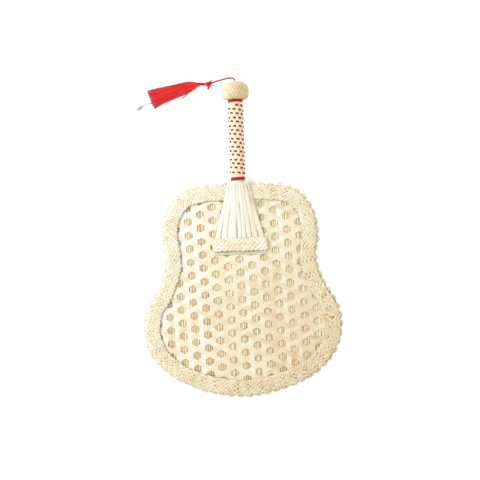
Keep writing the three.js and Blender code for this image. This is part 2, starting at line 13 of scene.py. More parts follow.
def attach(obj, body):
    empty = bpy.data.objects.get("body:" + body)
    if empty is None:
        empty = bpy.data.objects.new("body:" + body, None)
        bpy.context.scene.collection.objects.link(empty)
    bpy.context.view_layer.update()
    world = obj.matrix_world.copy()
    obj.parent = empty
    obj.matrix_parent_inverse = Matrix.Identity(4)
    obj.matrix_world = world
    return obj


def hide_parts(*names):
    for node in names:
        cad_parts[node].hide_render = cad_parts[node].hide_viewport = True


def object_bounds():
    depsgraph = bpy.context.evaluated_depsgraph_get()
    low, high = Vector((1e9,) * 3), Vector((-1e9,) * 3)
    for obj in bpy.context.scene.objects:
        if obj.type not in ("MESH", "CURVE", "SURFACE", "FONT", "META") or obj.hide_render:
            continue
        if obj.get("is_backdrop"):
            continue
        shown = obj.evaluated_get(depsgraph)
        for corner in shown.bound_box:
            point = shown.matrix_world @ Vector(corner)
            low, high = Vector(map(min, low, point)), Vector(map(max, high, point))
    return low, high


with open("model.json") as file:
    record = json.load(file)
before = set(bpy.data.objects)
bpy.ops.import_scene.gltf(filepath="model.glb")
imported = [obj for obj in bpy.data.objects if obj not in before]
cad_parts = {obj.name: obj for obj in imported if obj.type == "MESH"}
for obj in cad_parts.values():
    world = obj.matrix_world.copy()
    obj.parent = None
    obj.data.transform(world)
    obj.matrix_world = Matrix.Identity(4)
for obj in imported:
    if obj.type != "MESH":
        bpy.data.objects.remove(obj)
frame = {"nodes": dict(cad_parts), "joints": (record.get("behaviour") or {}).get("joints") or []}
CAD_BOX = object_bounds()

# Dresses the woven straw hand fan. Sizes in the code are millimetres in the fan's own directions: x to the
# right, y along the handle, counted from the panel's lower lobes, and z out of the front face, 0 in the
# panel's middle.

bl_info = {
    "name": "Woven straw hand fan",
    "version": (1, 0, 0),
    "blender": (4, 5, 0),
    "location": "3D View > Sidebar > Fan",
    "description": "Weaves and plaits the straw, laces the handle and ties the tassel of a hand fan",
    "category": "Object",
}

# The panel's edge, right half, clockwise from its top's middle: share of half the width and of the height
PANEL_OUTLINE = [
    (0, 0.6506), (0.3398, 0.6482), (0.5777, 0.6193), (0.7307, 0.5382), (0.7859, 0.4274), (0.7579, 0.2928),
    (0.8284, 0.182), (0.9643, 0.0712), (1, -0.0317), (0.9218, -0.1543), (0.7009, -0.2552), (0.3781, -0.3213),
    (0, -0.3494),
]
PANEL_WIDTH = 235.4
PANEL_HEIGHT = 252.7
EDGE_POINTS = 240
SKIRT_ARCH = 164.9066
SKIRT_BAND_LOW = 85.0066
SKIRT_BAND_TOP = 102.0066
SKIRT_END = 88.0066
HANDLE_FOOT = 168.2066
LOWER_BAND = 170.6066
UPPER_BAND = 263.0066
THREAD_TOP = 259.0066
STRAW_TOP = 270.6066
TONGUE_END = 92.7
TONGUE_HALF = 7.2
KNOB_MIDDLE = 277.1566
KNOB_TOP = 288.60662
KNOB_HALF = 11.45
KNOB_MOUTH = 8.8
CORD_HOLE = 1.4
KNOB_SQUARE = 2.1
KNOB_FOOT_SQUARE = 4.5
KNOB_SLANT = radians(57)
STRAWS = 15
STRAW_STEP = 2 * pi / STRAWS
GRIP_RUN = 98
GRIP_FADE = 10
ON_PLAIT = 3.95
ON_NET = 2.25
ARCH_HALF_WIDTH = 13.4
ARCH_RISE = 4.2
# Skirt bends: share of the way from the arch to the ends, of the arch's rise, of the step from net to plait, and
# of the spread
SKIRT_BENDS = [(0, 1, 1, 0), (0.117, 0.65, 1, 0.15), (0.291, 0.25, 1, 0.32), (0.532, 0.05, 0.35, 0.63),
               (0.818, 0, 0, 0.97), (1, 0, 0, 1)]
FRONT_SKIRT = [5.5, 7.5, 11, 4.6, 5, 5.6, 6.6, 6]
BACK_SKIRT = [6.2, 7, 6.6, 9, 7.2, 6.4, 6.6]
SKIRT_SLIT = 0.9
SKIRT_HALF = 32.3
SKIRT_BAND_WIDTH = 17.0
TRIM_HALF = 31.5
WINDING_CIRCLE = 8.15
# The net and the mat end under the plait, at these distances from the edge
NET_INSET = 10.5
MAT_INSET = 7.2
NET_TILT = 1.9
NET_ORIGIN = (1.4, -4.4)
NET_LEVEL = 1.3
NET_RELIEF = 0.075
# The cord's route from the knob's pole to the knot: x, y, and the share of its way down to the table
CORD_ROUTE = [
    (0, -1.7, 0), (0, 0.4, 0), (-0.8, 2, 0), (-2.9, 2.9, 0.04), (-6, 3.2, 0.14), (-9.8, 3.1, 0.3),
    (-13.6, 2.8, 0.5), (-17.4, 2.5, 0.7), (-21.2, 2, 0.86), (-24.2, 1.4, 0.96), (-26.5, 0.75, 1), (-29, -0.2, 1),
    (-31.1, -0.9, 1),
]
KNOT_LEVEL = 4.4
UP = Vector((0, 0, 1))
KNOT_PLACE = (-31.1, -0.9)
FRINGE_ANGLE = 193.2
FRINGE_START = 9.5
FRINGE_END = 71.9


def mix(low, high, share):
    return low + (high - low) * share


def clamp(value, low=0.0, high=1.0):
    return min(max(value, low), high)


def dome(across):
    """1 in the middle of a strip, 0 at its sides."""
    return 1 - across * across


def ease(share):
    share = clamp(share)
    return share * share * (3 - 2 * share)


def mm(size):
    """A setting's length in millimetres."""
    return size * 1000


def linear(code):
    """A linear colour from an sRGB hex code."""
    parts = [int(code[at:at + 2], 16) / 255 for at in (0, 2, 4)]
    return tuple(part / 12.92 if part <= 0.04045 else ((part + 0.055) / 1.055) ** 2.4 for part in parts) + (1.0,)


def length(name, description, default):
    return FloatProperty(name=name, description=description, default=default / 1000, min=0, unit="LENGTH",
                         precision=4)


def amount(name, description, default, **more):
    return FloatProperty(name=name, description=description, default=default, **more)


def tally(name, description, default, low):
    return IntProperty(name=name, description=description, default=default, min=low)


def colour(name, description, code):
    return FloatVectorProperty(name=name, description=description, default=linear(code), size=4, min=0, max=1,
                               subtype="COLOR")


# Directions of the fan and of the tassel in the row frame, with millimetres turned to metres

def joint(name):
    return next(entry for entry in frame["joints"] if entry["name"] == name)


POLE = Vector(joint("tassel_turn")["pos_m"])


def fan_matrix():
    handle = Vector(joint("tassel_turn")["axis"]).normalized()
    right = Vector((1, 0, 0))
    turned = Matrix((right, handle, right.cross(handle))).transposed()
    return Matrix.Translation(POLE - handle * KNOB_TOP / 1000) @ turned.to_4x4() @ Matrix.Scale(0.001, 4)


FAN = fan_matrix()
BEHIND = FAN @ Matrix.Rotation(pi, 4, "Y")
TASSEL = Matrix.Translation((POLE.x, POLE.y, 0)) @ Matrix.Scale(0.001, 4)
KNOT = TASSEL @ Matrix.Translation((*KNOT_PLACE, 0))
# the tassel's head: y along the fringe, from the knot's middle
HEAD = KNOT @ Matrix.Rotation(radians(FRINGE_ANGLE - 90), 4, "Z")


# Lines

def smooth_run(points, steps, closed=False):
    """Points on a smooth curve through the given ones, with so many steps between two of them."""
    points = [Vector(place) for place in points]
    if closed:
        padded = points[-1:] + points + points[:2]
    else:
        padded = [points[0] * 2 - points[1]] + points + [points[-1] * 2 - points[-2]]
    run = []
    for a, b, c, d in zip(padded, padded[1:], padded[2:], padded[3:]):
        before, here, after = (max((q - p).length, 1e-6) ** 0.5 for p, q in ((a, b), (b, c), (c, d)))
        leave = ((b - a) / before - (c - a) / (before + here) + (c - b) / here) * here
        reach = ((c - b) / here - (d - b) / (here + after) + (d - c) / after) * here
        for step in range(steps):
            t = step / steps
            run.append(b * (2 * t**3 - 3 * t**2 + 1) + leave * (t**3 - 2 * t**2 + t)
                       + c * (3 * t**2 - 2 * t**3) + reach * (t**3 - t**2))
    return run if closed else run + points[-1:]


def find_step(marks, value):
    """The step between rising marks that holds a value, and the value's share of it."""
    at = min(max(bisect.bisect_right(marks, value) - 1, 0), len(marks) - 2)
    return at, (value - marks[at]) / (marks[at + 1] - marks[at])


class Line:
    """A run of points that is followed by its own length."""

    def __init__(self, points, closed=False):
        self.closed = closed
        self.points = points + points[:1] if closed else points
        self.marks = [0.0, *accumulate((b - a).length for a, b in zip(self.points, self.points[1:]))]
        self.length = self.marks[-1]
        before, after = (self.points[-2], self.points[1]) if closed else (self.points[0], self.points[-1])
        self.ways = [(b - a).normalized()
                     for a, b in zip([before] + self.points, self.points[1:] + [after])]

    def at(self, distance):
        """The point at a distance along the line, and the line's direction there."""
        distance = distance % self.length if self.closed else clamp(distance, 0, self.length)
        at, share = find_step(self.marks, distance)
        way = self.ways[at].lerp(self.ways[at + 1], share)
        return self.points[at].lerp(self.points[at + 1], share), way.normalized()


def panel_edge():
    right = [(x * PANEL_WIDTH / 2, y * PANEL_HEIGHT, 0) for x, y in PANEL_OUTLINE]
    left = [(-x, y, 0) for x, y, _ in reversed(right[1:-1])]
    return Line(smooth_run(right + left, 40, closed=True), closed=True)


EDGE = panel_edge()


def edge_point(distance, inset, height=0.0):
    """A point moved inwards from the panel's edge."""
    place, way = EDGE.at(distance)
    return Vector((place.x + way.y * inset, place.y - way.x * inset, height))


def fence(inset):
    """A closed loop of points inside the panel's edge."""
    return [edge_point(EDGE.length * at / EDGE_POINTS, inset) for at in range(EDGE_POINTS)]


def outward(angle):
    """The direction that leads out of the handle, 0 being its front."""
    return Vector((sin(angle), 0, cos(angle)))


def painted_shade(spot, middle, reach):
    """Painted shade on the straw, from -1, palest, at the lit upper left to 1, darkest, at the shaded lower
    right.
    """
    return clamp((spot.x - spot.y + middle) / reach, -1, 1)


def runs_inside(loop, start, way):
    """The stretches of a straight line that lie inside a loop, as distances from start."""
    marks = []
    for a, b in zip(loop, loop[1:] + loop[:1]):
        side_a, side_b = (way.x * (p.y - start.y) - way.y * (p.x - start.x) for p in (a, b))
        if (side_a > 0) != (side_b > 0):
            marks.append((a.lerp(b, side_a / (side_a - side_b)) - start).dot(way))
    marks.sort()
    return list(zip(marks[::2], marks[1::2]))


# Strips, tubes and pieces

def new_work():
    """A bmesh whose points carry the straw's grain (along, across, strand) and its tint."""
    work = bmesh.new()
    work.verts.layers.float_vector.new("grain")
    work.verts.layers.float.new("tint")
    return work


def lay_strip(work, steps, lanes, place, strand, tint):
    """A flat strip: a grid bent by place(along 0..1, across -1..1), which gives point, run and side."""
    grain, tone = work.verts.layers.float_vector["grain"], work.verts.layers.float["tint"]
    for vert in bmesh.ops.create_grid(work, x_segments=steps, y_segments=lanes, size=1.0)["verts"]:
        spot, run, side = place((vert.co.x + 1) / 2, vert.co.y)
        vert.co = spot
        vert[grain] = (run, side, strand)
        vert[tone] = tint(run, spot) if callable(tint) else tint


def roll_tube(work, steps, sides, section, strand, tint, lobe=None):
    """A closed round strand: a grid rolled up. section(along) gives middle, two half axes and run."""
    grain, tone = work.verts.layers.float_vector["grain"], work.verts.layers.float["tint"]
    # the first and the last ring close the ends
    rings = [section(clamp((ring - 1) / steps)) for ring in range(steps + 3)]
    for vert in bmesh.ops.create_grid(work, x_segments=steps + 2, y_segments=sides, size=1.0)["verts"]:
        ring = round((vert.co.x + 1) / 2 * (steps + 2))
        angle = pi * round(vert.co.y, 5)
        middle, wide, high, run = rings[ring]
        full = 0.0 if ring in (0, steps + 2) else (lobe(angle, run) if lobe else 1.0)
        seam = abs(vert.co.y) > 0.9999
        shape = -wide if seam else wide * cos(angle) + high * sin(angle)
        vert.co = middle + shape * full
        vert[grain] = (run, 0 if seam else angle * wide.length, strand)
        vert[tone] = tint(run, middle) if callable(tint) else tint


def close_tubes(work):
    bmesh.ops.remove_doubles(work, verts=work.verts, dist=0.0005)
    bmesh.ops.recalc_face_normals(work, faces=work.faces)


def new_object(name, work, material):
    """Turns a bmesh into an object of the scene."""
    mesh = bpy.data.meshes.new(name)
    work.to_mesh(mesh)
    work.free()
    mesh.materials.append(material)
    item = bpy.data.objects.new(name, mesh)
    bpy.context.scene.collection.objects.link(item)
    return item


def make_piece(name, kind, body, slot, nodes, place, fill, *given, thickness=0.0, smooth=True):
    """Fills a mesh, gives the piece its finish and its thickness, and stands it for its CAD nodes."""
    work = new_work()
    fill(work, *given)
    bmesh.ops.transform(work, matrix=place, verts=work.verts)
    piece = new_object(name, work, finish(kind))
    if smooth:
        piece.data.shade_smooth()
    if thickness:
        shell = piece.modifiers.new("thickness", "SOLIDIFY")
        shell.thickness = thickness / 1000
        shell.offset = 0
    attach(piece, body)
    if nodes:
        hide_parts(*nodes)
    return piece


# Settings

class FanPanelSettings(bpy.types.PropertyGroup):
    net_row: length("Net row pitch", "From gap to gap in one column", 16.05)
    net_column: length("Net column pitch", "From column to column of gaps", 14.65)
    upright_strip: length("Upright strip", "Width of the net's upright strips", 5.3)
    slant_strip: length("Slanting strip", "Width of the net's slanting strips", 5.7)
    strip_thickness: length("Strip thickness", "Thickness of split straw", 0.1)
    straw_pitch: length("Mat straw pitch", "Usual distance between upright straws", 2.5)
    plait_width: length("Plait width", "Width of the border plait", 18.5)
    plait_cell: length("Plait cell", "Length of one cell of the plait", 4.8)
    plait_strand: length("Plait strand", "Width of one strand of the plait", 3.1)
    picot_pitch: length("Picot pitch", "Distance between two loops", 11)
    picot_ribbon: length("Picot ribbon", "Width of the loops' ribbon", 2.6)


class FanHandleSettings(bpy.types.PropertyGroup):
    straw_width: length("Grip straw width", "Width of a straw along the grip", 3.2)
    straw_circle: length("Straw circle", "Radius of the ring of straws", 8.05)
    thread_tall: length("Thread height", "Height of the red thread", 2.15)
    thread_turns: tally("Thread turns", "Turns of the thread along the grip", 17, 1)
    winding_wire: length("Winding thread", "Diameter of the red bands' thread", 1.34)
    knob_strands: tally("Knob strands", "Strands of the knob each way", 24, 6)
    knob_radius: length("Knob radius", "Largest radius of the knob", 16.3)


class FanTasselSettings(bpy.types.PropertyGroup):
    cord_diameter: length("Cord diameter", "Diameter of the twisted cord", 2.2)
    fringe_strands: tally("Fringe strands", "Number of threads in the fringe", 330, 20)
    fringe_thread: length("Fringe thread", "Diameter of one thread", 0.8)


class FanColourSettings(bpy.types.PropertyGroup):
    straw_grip: colour("Grip straw", "Bleached straw of the grip", "FAF0E0")
    straw_white: colour("Bleached straw", "Palest split straw", "E7E4DA")
    straw_cream: colour("Cream straw", "Usual split straw", "DFD5BA")
    straw_tan: colour("Tan straw", "Darker split straw", "D3BC95")
    # the brown also ends the tint scale, which carries the painted shade of the plaits, loops and edge strips
    straw_brown: colour("Brown straw", "Weathered straw and specks", "957650")
    mat_pale: colour("Pale mat straw", "Palest straw of the mat", "ECE2CB")
    mat_tan: colour("Tan mat straw", "Usual straw of the mat", "E0CFAB")
    mat_brown: colour("Brown mat straw", "Darkest straw of the mat", "C6A97E")
    cane: colour("Cane", "Stick inside the handle", "8D6B3E")
    # the dark thread colours are partly painted shade in the hollows of the twist, partly darker strands
    red: colour("Red thread", "Cotton thread of the handle", "C20F18")
    red_dark: colour("Dark red thread", "Hollows of the cotton thread", "5E0E12")
    tassel: colour("Tassel red", "Rayon threads of the tassel", "E6171D")
    tassel_dark: colour("Dark tassel red", "Hollows between those threads", "9A0A13")
    # the grey of the cut ends also paints the shade line along the fringe's two edges
    tassel_grey: colour("Faded ends", "Mauve-grey tips of those threads", "745260")
    grey: colour("Grey thread", "Fine thread and its tip", "BDB4BC")
    grey_dark: colour("Dark grey thread", "Hollows of the fine thread", "968B94")
    floor: colour("Floor", "Studio floor", "FFFFFF")


class FanStageSettings(bpy.types.PropertyGroup):
    camera_height: length("Camera height", "Height of the camera above the floor", 913)
    camera_turn: amount("Camera turn", "Turn of the camera about its view", radians(-2), subtype="ANGLE",
                        unit="ROTATION")
    key_power: amount("Key light", "Power of the soft light from the upper left", 11, min=0, unit="POWER")
    sky: amount("Sky light", "Strength of the even light from all sides", 0.98, min=0)
    floor_glow: amount("Floor light", "Light that the floor gives, as a lit table does", 0.24, min=0)


def settings(name):
    return getattr(bpy.context.scene, name)


# Materials

def add_node(material, kind, values=(), links=(), stops=()):
    """Adds one shader node with its properties or socket values, its incoming links and its colour stops."""
    node = material.node_tree.nodes.new("ShaderNode" + kind)
    for key, value in dict(values).items():
        if isinstance(key, str) and hasattr(node, key):
            setattr(node, key, value)
        else:
            node.inputs[key].default_value = value
    for key, output in dict(links).items():
        material.node_tree.links.new(output, node.inputs[key])
    for at, (position, shade) in enumerate(stops):
        elements = node.color_ramp.elements
        stop = elements[at] if at < 2 else elements.new(position)
        stop.position, stop.color = position, shade
    return node


def new_material(name, **values):
    """An empty material with one principled shader, whose even values stand on its own sockets."""
    material = bpy.data.materials.new(name)
    material.use_nodes = True
    material.node_tree.nodes.clear()
    shader = add_node(material, "BsdfPrincipled", values)
    add_node(material, "OutputMaterial", (), {"Surface": shader.outputs[0]})
    return material, shader


def attribute(material, name, output):
    return add_node(material, "Attribute", {"attribute_name": name}).outputs[output]


def noise(material, vector, detail, rough=0.5, scale=1.0):
    values = {"Scale": scale, "Detail": detail, "Roughness": rough}
    return add_node(material, "TexNoise", values, {"Vector": vector}).outputs["Fac"]


def grain_noise(material, grain, stretch, detail, rough=0.5):
    """Noise that is stretched along the strand and differs from strand to strand."""
    stretched = add_node(material, "VectorMath", {"operation": "MULTIPLY", 1: stretch}, {0: grain})
    return noise(material, stretched.outputs[0], detail, rough)


def ramp(material, share, *stops):
    return add_node(material, "ValToRGB", (), {"Fac": share}, stops).outputs["Color"]


def blend(material, values, links):
    """Two colours mixed: socket 6 is the lower one, 7 the one on top."""
    return add_node(material, "Mix", {"data_type": "RGBA", **values}, links).outputs[2]


def sums(material, operation, values, links):
    return add_node(material, "Math", {"operation": operation, **values}, links).outputs[0]


def coat(material, shader, body, height, rough, strength, relief):
    """Gives the shader its colour, and a roughness and a relief in millimetres that follow one grain."""
    rough = add_node(material, "MapRange", {"To Min": rough[0], "To Max": rough[1]}, {"Value": height})
    bump = add_node(material, "Bump", {"Strength": strength, "Distance": relief / 1000}, {"Height": height})
    for socket, output in (("Base Color", body), ("Roughness", rough.outputs[0]), ("Normal", bump.outputs[0])):
        material.node_tree.links.new(output, shader.inputs[socket])
    return material


def straw_material(name, tones, fleck, gloss, streak=0.45, relief=0.12, cast=0.3, dyed=0.0):
    """Split or whole dried straw. Its fibres run along the strip, a streak every half millimetre, the colour
    drifts from strip to strip, and brown flecks a few millimetres long stand where the leaf sat. The eye gets a
    satin sheen that breaks up along the fibres."""
    material, shader = new_material(name, **{"Specular IOR Level": 0.4})
    grain, tint = attribute(material, "grain", "Vector"), attribute(material, "tint", "Fac")
    # fibres: about 12 mm long and half a millimetre wide
    fibre = grain_noise(material, grain, (0.08, 1 / streak, 7.31), 3.0, 0.6)
    # drift of the colour: about 30 mm along the strip
    drift = grain_noise(material, grain, (0.035, 0.12, 3.17), 2.0)
    shade = sums(material, "MULTIPLY_ADD", {1: 0.5}, {0: fibre, 2: tint})
    shade = sums(material, "MULTIPLY_ADD", {1: 0.55}, {0: drift, 2: shade})
    shade = sums(material, "SUBTRACT", {1: 0.52, "use_clamp": True}, {0: shade})
    body = ramp(material, shade, (0.0, tones[0]), (1.0, tones[3]), (0.35, tones[1]), (0.72, tones[2]))
    # the straw leans to pink, yellow or green from place to place, in patches of some 12 mm
    where = add_node(material, "TexCoord").outputs["Object"]
    lean = ramp(material, noise(material, where, 1.0, scale=85.0), (0.3, linear("FFDCCB")),
                (0.7, linear("E3EED2")), (0.42, linear("FFFFFF")), (0.52, linear("FFF3CF")),
                (0.6, linear("FFFFFF")))
    body = blend(material, {"blend_type": "MULTIPLY", "Factor": cast}, {6: body, 7: lean})
    if dyed:
        # red dye has bled from the thread into the grip, as far as the lower band
        parts = add_node(material, "SeparateXYZ", (), {0: grain})
        ends = {"From Min": GRIP_RUN, "From Max": GRIP_RUN + GRIP_FADE, "To Min": dyed, "To Max": 0.0}
        reach = add_node(material, "MapRange", ends, {"Value": parts.outputs["X"]}).outputs[0]
        body = blend(material, {"blend_type": "MULTIPLY", 7: linear("FFE6D4")}, {"Factor": reach, 6: body})
    # flecks: about 2 mm long and half a millimetre wide
    spots = grain_noise(material, grain, (0.45, 1.5, 5.13), 4.0, 0.7)
    mask = ramp(material, spots, (0.66, (0, 0, 0, 1)), (0.76, (0.4, 0.4, 0.4, 1)))
    body = blend(material, {7: fleck}, {"Factor": mask, 6: body})
    return coat(material, shader, body, fibre, (gloss - 0.1, gloss + 0.14), 0.5, relief)


def thread_material(name, bright, dark, tip, gloss, twist, sheen):
    """Twisted thread. Fibres lie in fine slanting lines, painted bright on top and dark in the hollows as light
    and shade. A tint above 1 gives the tip colour: a faded cut end, and the painted shade line along the
    fringe's edges. The eye gets a soft sheen with sparks of light along the strands."""
    material, shader = new_material(name, **{"Sheen Weight": sheen, "Sheen Roughness": 0.4})
    grain, tint = attribute(material, "grain", "Vector"), attribute(material, "tint", "Fac")
    turned = {"Rotation": (0, 0, twist), "Scale": (0.25, 3.2, 4.7)}
    slant = add_node(material, "Mapping", turned, {"Vector": grain})
    fibre = noise(material, slant.outputs[0], 3.0, 0.65)
    shade = sums(material, "ADD", {"use_clamp": True}, {0: fibre, 1: tint})
    body = ramp(material, shade, (0.25, dark), (0.75, bright))
    tip_share = add_node(material, "MapRange", {"From Min": 1.0, "From Max": 2.0}, {"Value": tint})
    body = blend(material, {7: tip}, {"Factor": tip_share.outputs[0], 6: body})
    return coat(material, shader, body, fibre, (gloss - 0.12, gloss + 0.12), 0.6, 0.2)


def cane_material(name, base, dark):
    """Bare cane of the stick and the knob's filling: long pores along the stick. The eye gets a soft satin."""
    material, shader = new_material(name)
    place = add_node(material, "TexCoord").outputs["Object"]
    grain = add_node(material, "Mapping", {"Scale": (1, 0.06, 1)}, {"Vector": place})
    pores = noise(material, grain.outputs[0], 4.0, 0.6, 400)
    body = ramp(material, pores, (0.3, dark), (0.7, base))
    return coat(material, shader, body, pores, (0.45, 0.65), 0.4, 0.1)


def finish(kind):
    """One of the fan's materials, made when it is first asked for."""
    made = bpy.data.materials.get(kind)
    if made:
        return made
    tones = settings("fan_colours")
    brown = tones.straw_brown
    straw = (tones.straw_white, tones.straw_cream, tones.straw_tan, brown)
    grip = (tones.straw_grip, tones.straw_white, tones.straw_cream, brown)
    mat = (tones.mat_pale, tones.mat_tan, tones.mat_brown, brown)
    maker, *given = {
        "split_straw": (straw_material, straw, brown, 0.5),
        "dyed_straw": (straw_material, grip, brown, 0.5, 0.45, 0.12, 0.3, 0.9),
        "plaited_straw": (straw_material, straw, brown, 0.55, 0.4, 0.14, 0.4),
        "whole_straw": (straw_material, mat, tones.mat_brown, 0.55, 0.5, 0.1, 0.75),
        "cotton_thread": (thread_material, tones.red, tones.red_dark, tones.red, 0.7, 0.6, 0.06),
        "rayon_thread": (thread_material, tones.tassel, tones.tassel_dark, tones.tassel_grey, 0.42, 0.15, 0.08),
        "spun_grey": (thread_material, tones.grey, tones.grey_dark, tones.grey, 0.5, 0.4, 0.02),
        "bare_cane": (cane_material, tones.cane, tones.mat_brown),
    }[kind]
    return maker(kind, *given)


# Panel

def net_height(along, across, line):
    """Over (1) or under (-1) the strips that cross strip number line, at a place in steps between crossings."""
    lean = 0.58 * across
    cross = (along - 0.5) // 1
    side = 1 if (cross - 1 - line) % 2 == 0 else -1
    if along < cross + 0.5 + side * lean:
        cross, side = cross - 1, -side
    elif along >= cross + 1.5 - side * lean:
        cross, side = cross + 1, -side
    low, high = cross + 0.5 + side * lean, cross + 1.5 - side * lean
    return side * cos(pi * (along - low) / (high - low))


def weave_net(work, panel, dice):
    """Three families of strips, each over one of the others and under the third."""
    row, column = mm(panel.net_row), mm(panel.net_column)
    slant = atan2(row / 2, column)
    slip = 1 - row / column * sin(2 * slant)
    # a slanting strip's distance to the next one, its distance between two crossings, and its width
    slanting = (row * cos(slant), column / 2 / cos(slant), mm(panel.slant_strip))
    strand = 0
    for lean, shade, shift, spacing, step, width in (
            (0, 0.26, 0, column, row / 2, mm(panel.upright_strip)),
            (pi / 2 - slant, 0.36, slip, *slanting), (pi / 2 + slant, 0.28, -slip, *slanting)):
        turn = Matrix.Rotation(lean + radians(NET_TILT), 3, "Z")
        way, out = turn @ Vector((0, 1, 0)), turn @ Vector((1, 0, 0))
        for line in range(-12, 12):
            start = turn @ Vector(((line + 0.5) * spacing, 0, 0)) + Vector((*NET_ORIGIN, 0))
            # the uprights at the left are the whitest
            base = dice.gauss(shade, 0.09) - (0.2 if lean == 0 and -8 < line < -3 else 0)
            sway, fat, phase = dice.uniform(-0.4, 0.4), dice.uniform(0.9, 1.06), dice.uniform(0, 6)
            strand += 1
            for low, high in runs_inside(fence(NET_INSET), start, way):
                if high - low < 4:
                    continue

                def place(along, across):
                    run = mix(low, high, along)
                    side = -across * width * fat / 2 + sway * sin(run / 31 + phase)
                    rise = net_height(run / step + shift * (line + 0.5), side / step, line)
                    spot = start + way * run + out * side
                    spot.z = NET_LEVEL + NET_RELIEF * clamp(1.5 * rise, -1, 1) + 0.02 * dome(across)
                    return spot, run, across * width / 2

                def tint(run, spot):
                    # painted light: paler at the upper left, where the light falls, darker to the right and to
                    # the bottom
                    return base + 0.11 * clamp(spot.x / 60, -1, 1) + 0.1 * clamp((60 - spot.y) / 60, -1, 1)

                lay_strip(work, max(4, round((high - low) / 1.35)), 3, place, strand, tint)


def lay_mat(work, panel, dice):
    """Fine upright straws of uneven width, side by side in the middle of the panel."""
    x, strand = -PANEL_WIDTH / 2 + 8, 0
    while x < PANEL_WIDTH / 2 - 7:
        share = mm(panel.straw_pitch) * dice.choice((0.62, 0.8, 1, 1.2, 1.35))
        radius = share / 2 - 0.13
        tone, phase, lift = clamp(dice.gauss(0.28, 0.13), 0, 1), dice.uniform(0, 6), dice.uniform(-0.12, 0.12)
        strand += 1
        for low, high in runs_inside(fence(MAT_INSET), Vector((x, 0, 0)), Vector((0, 1, 0))):
            # the stick's tongue takes the middle of the panel's upper part
            top = min(high, TONGUE_END) if abs(x) < TONGUE_HALF else high

            def section(along):
                y = mix(low, top, along)
                sway = 0.1 * sin(y / 17 + phase)
                middle = Vector((x + share / 2 + sway, y, lift + 0.04 * sin(y / 11 + phase)))
                return middle, Vector((radius, 0, 0)), Vector((0, 0, 0.5)), y

            roll_tube(work, 14, 8, section, strand, tone)
        x += share
    close_tubes(work)


def plait_strands(work, strands, whole, cells, spot, width, strand_width, levels, dice, taper=None, pale=0.0):
    """A flat plait of an odd number of strands. spot(distance, inset, height) gives a point along its way, and
    levels(inset) the plait's middle height there."""
    pitch = whole / cells
    reach = (width - strand_width) / 2
    # a strand turns back sharply at the plait's edges: 1 would be a corner
    turning = 0.985
    waves = [(dice.randrange(cells // 9, cells // 3), dice.uniform(0, 6), dice.uniform(0.3, 0.7))
             for _ in range(4)]

    def pulled(run):
        """The plait is pulled tighter and looser by turns."""
        return run + sum(size * sin(2 * pi * wave * run / whole + start) for wave, start, size in waves)

    for strand in range(strands):
        tones = [dice.gauss(0.34, 0.08) - pale for _ in range(cells)]
        knots = [dice.random() < 0.12 for _ in range(cells)]
        shift, swell, slack = (dice.uniform(0, 6) for _ in range(3))

        def lateral(run):
            turn = 2 * pi * (pulled(run) / pitch + strand) / strands
            return -reach * asin(turning * cos(turn)) / asin(turning)

        def place(along, across):
            run = along * whole
            phase = ((pulled(run) / pitch + strand) / strands) % 1
            count = 2 * strands * phase
            near = min(count % strands, strands - count % strands)
            over = (-1 if phase < 0.5 else 1) * cos(pi * count) * ease(near)
            slope = (lateral(run + 0.1) - lateral(run - 0.1)) / 0.2
            size = hypot(1, slope)
            # a strand is wider and narrower by turns, and lies a little to one side
            fat = 1.03 + 0.18 * sin(run / 2.9 + swell) * sin(run / 7.7 + slack)
            half = strand_width / 2 * across * fat
            distance = run - half * slope / size
            side = lateral(run) + half / size + 0.4 * sin(run / 5.1 + shift)
            if taper:
                side *= taper(distance)
            inset = width / 2 + side
            height = levels(inset) + 0.45 * clamp(1.35 * over, -1, 1) + 0.5 * dome(across)
            return spot(distance, inset, height), run, half

        def tint(run, spot):
            at = min(int(run / pitch / strands * 2 + strand * 0.37), cells - 1)
            # the tones and the brown knots are the straw's own; the last term is painted shade, darker towards
            # the lower right
            return clamp(tones[at] + (0.16 if knots[at] else 0) + 0.15 * painted_shade(spot, 60, 160), 0, 1)

        lay_strip(work, cells * 6, 4, place, strand, tint)


def edge_strip(work, steps, inset, half, height, strand, tint):
    """A narrow strip along the whole edge. height(distance, across) tells how high it lies."""
    def place(along, across):
        distance = along * EDGE.length
        return edge_point(distance, inset + half * across, height(distance, across)), distance, across

    lay_strip(work, steps, 2, place, strand, tint)


def border_plait(work, panel, dice):
    """The plait, which falls off to the edge, and the strips along its inner and its outer edge."""
    def levels(inset):
        fall = 1 - clamp(inset / 9)
        return mix(1.0, 2.65, sqrt(1 - fall * fall))

    width = mm(panel.plait_width)
    cells = round(EDGE.length / mm(panel.plait_cell))
    plait_strands(work, 7, EDGE.length, cells, edge_point, width, mm(panel.plait_strand), levels, dice)

    def dip(distance, across):
        return 0.55 + 0.4 * (sin(distance * 1.3) + 0.5 * sin(distance * 0.43))

    # a thin strip along the plait's inner edge, painted darker on the left as the plait's shadow on the net
    edge_strip(work, 300, width - 0.25, 0.24, lambda distance, across: 2.2 - 0.25 * across * across, 8,
               lambda run, spot: 0.35 + 0.4 * clamp((-20 - spot.x) / 40))
    # a dark strip along the outer edge: painted shade in the gap between the plait and the loops, darker to the
    # lower right
    edge_strip(work, 700, 0.15, 0.45, dip, 9, lambda run, spot: 0.55 + 0.6 * painted_shade(spot, 50, 150))


